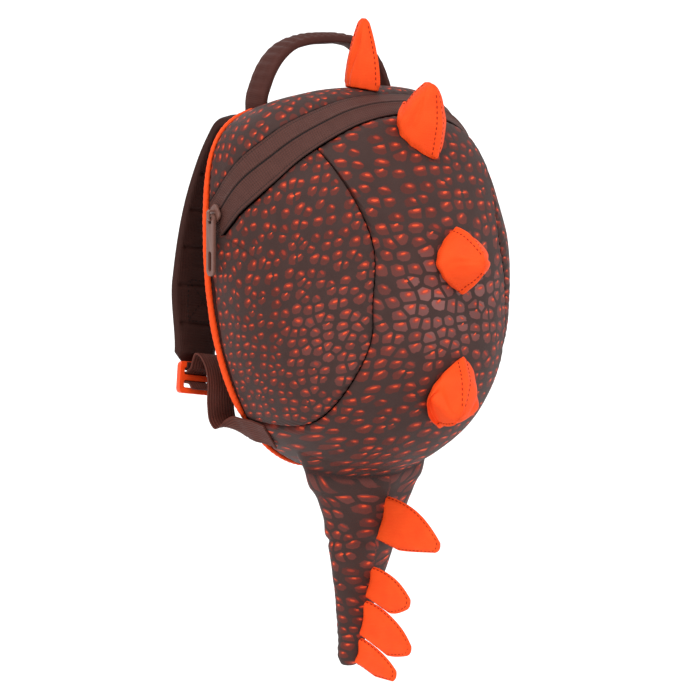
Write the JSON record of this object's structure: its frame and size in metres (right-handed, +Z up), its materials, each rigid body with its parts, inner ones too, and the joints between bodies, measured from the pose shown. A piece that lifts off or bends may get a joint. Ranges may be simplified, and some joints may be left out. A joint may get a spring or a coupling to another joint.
{
  "type": "kids animal backpack",
  "caption": "Small egg-shaped dinosaur backpack for a toddler with a zip over its top, padded straps, stuffed spikes down its middle and a hanging finned tail.",
  "frame": {"origin": "underside of the grab handle's arch, where a hand or a peg holds the bag", "axes": "+Z up, the bag's front faces -Y, its left side seen from the front is -X"},
  "size_m": [0.2186, 0.2072, 0.44],
  "materials": {
    "print_fabric": "printed woven polyester, reptile scales in brown and red with orange flecks",
    "brown_fabric": "dark brown woven polyester",
    "zip_tape": "mid-brown woven zip tape with a coil",
    "orange_fabric": "bright orange woven polyester",
    "orange_plastic": "moulded orange plastic",
    "painted_metal": "brown painted zinc"
  },
  "bodies": {
    "bag": {"front_panel": "print_fabric", "side_panel_left": "print_fabric", "side_panel_right": "print_fabric", "top_gusset": "print_fabric", "tail": "print_fabric", "back_panel": "brown_fabric", "grab_handle": "brown_fabric", "shoulder_strap_left": "brown_fabric", "shoulder_strap_right": "brown_fabric", "webbing_left": "brown_fabric", "webbing_right": "brown_fabric", "zip_tape": "zip_tape", "piping": "orange_fabric", "spike_1": "orange_fabric", "spike_2": "orange_fabric", "spike_3": "orange_fabric", "spike_4": "orange_fabric", "tail_fin_1": "orange_fabric", "tail_fin_2": "orange_fabric", "tail_fin_3": "orange_fabric", "tail_fin_4": "orange_fabric", "ladder_lock_left": "orange_plastic", "ladder_lock_right": "orange_plastic", "zip_slider": "painted_metal"},
    "pull": {"zip_pull": "painted_metal"}
  },
  "joints": [
    {"name": "pull_swing", "type": "hinge", "parent": "bag", "child": "pull", "pos_m": [-0.10806, -0.01092, -0.10501], "axis": [0.2251, 0.9743, 0], "range_deg": [0, 150]}
  ]
}
